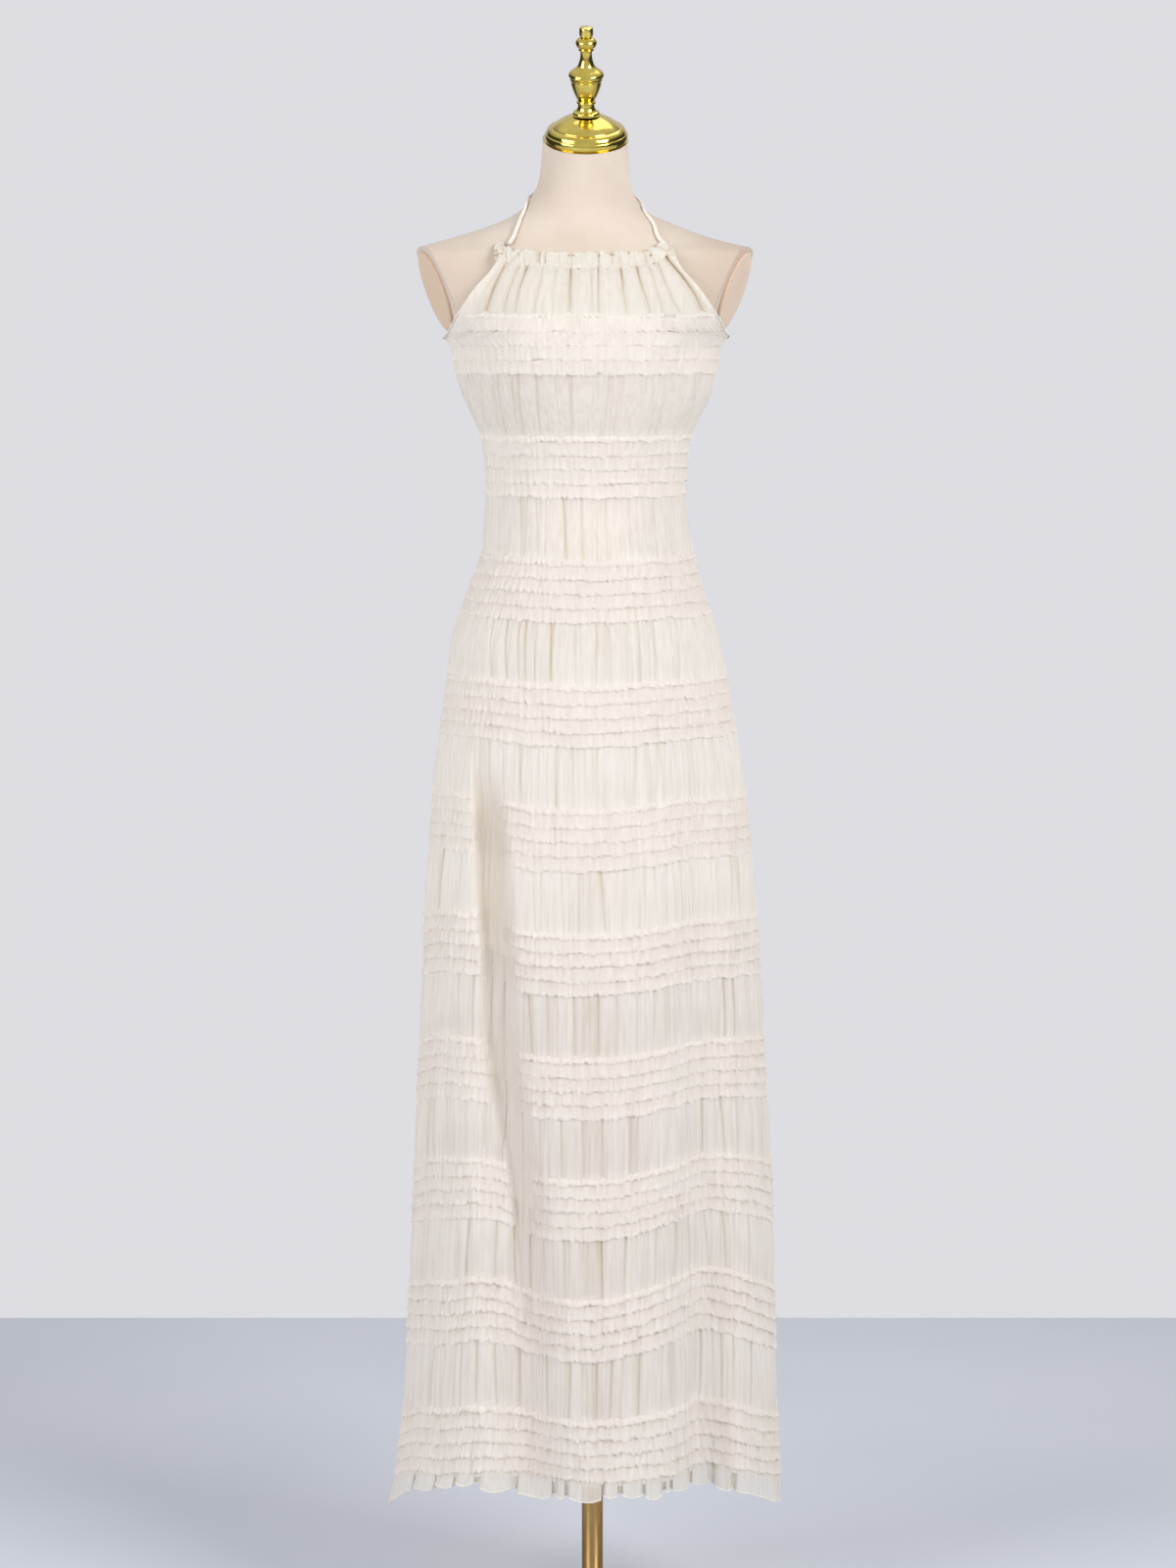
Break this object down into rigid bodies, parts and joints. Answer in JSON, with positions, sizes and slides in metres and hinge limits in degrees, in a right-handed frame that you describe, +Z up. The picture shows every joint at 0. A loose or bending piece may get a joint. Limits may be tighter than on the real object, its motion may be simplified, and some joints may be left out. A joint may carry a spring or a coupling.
{
  "type": "halter maxi dress on a limbless dress form with a pole stand",
  "caption": "Sleeveless halter maxi dress in sheer crinkled chiffon with shirred frill bands, worn on a limbless dress form with a brass neck cap and pole stand.",
  "frame": {"origin": "on the floor, in the middle of the base's underside, on the pole's axis", "axes": "+Z up along the pole, the dress faces -Y, +X to the right of a viewer in front of it"},
  "size_m": [0.4625, 0.34, 1.8177],
  "materials": {
    "chiffon": "sheer crinkled chiffon, ivory",
    "chiffon_trim": "rolled chiffon rouleau, ivory",
    "form_cover": "matt jersey, beige",
    "arm_plate_cover": "matt jersey, pinkish beige",
    "polished_brass": "polished, gold coloured",
    "brushed_brass": "brushed"
  },
  "bodies": {
    "root": {"dress_front": "chiffon", "dress_back": "chiffon", "yoke_front": "chiffon", "neck_casing": "chiffon", "hem_frill_front": "chiffon", "hem_frill_back": "chiffon", "strap_left": "chiffon_trim", "strap_right": "chiffon_trim", "strap_knot": "chiffon_trim", "form_torso": "form_cover", "arm_plate_left": "arm_plate_cover", "arm_plate_right": "arm_plate_cover", "neck_cap": "polished_brass", "finial": "polished_brass", "pole": "brushed_brass", "pole_collar": "brushed_brass", "base": "brushed_brass"}
  },
  "joints": []
}
